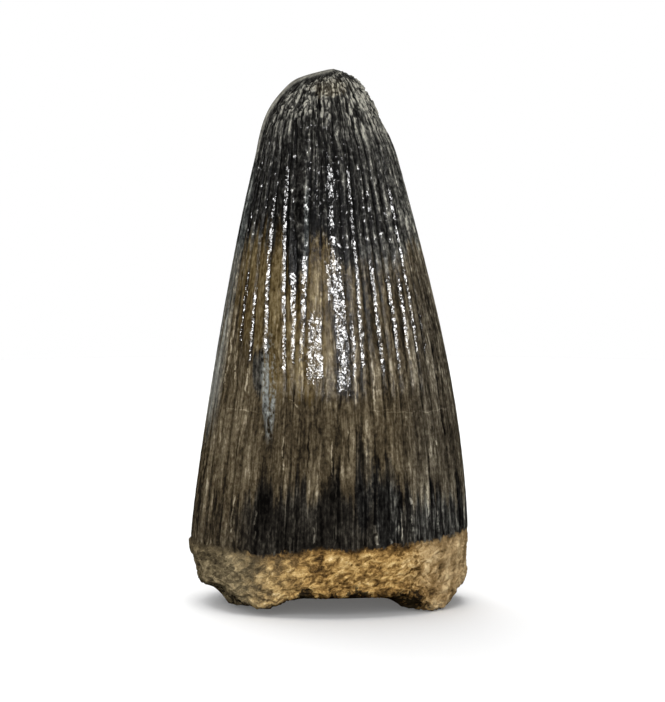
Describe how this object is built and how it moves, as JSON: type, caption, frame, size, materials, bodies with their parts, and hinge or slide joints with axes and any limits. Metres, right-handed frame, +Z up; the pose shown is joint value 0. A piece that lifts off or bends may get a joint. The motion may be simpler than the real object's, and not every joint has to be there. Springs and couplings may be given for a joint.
{
  "type": "fossil teleosaurus tooth",
  "caption": "Ribbed conical fossil tooth crown with a blunt knobbly tip, standing upright on its rough broken root.",
  "frame": {"origin": "centre of the tooth's bounding box in plan, at the plane of the spots it stands on", "axes": "+Z up from the root to the tip, -Y the side that faced the lips, +X to the right seen from there"},
  "size_m": [0.021, 0.0178, 0.04],
  "materials": {
    "fossil_enamel": "dark brown-black fossil enamel, glossy on the upper ribs and dull below, over rough ochre root"
  },
  "bodies": {
    "root": {"tooth": "fossil_enamel"}
  },
  "joints": []
}
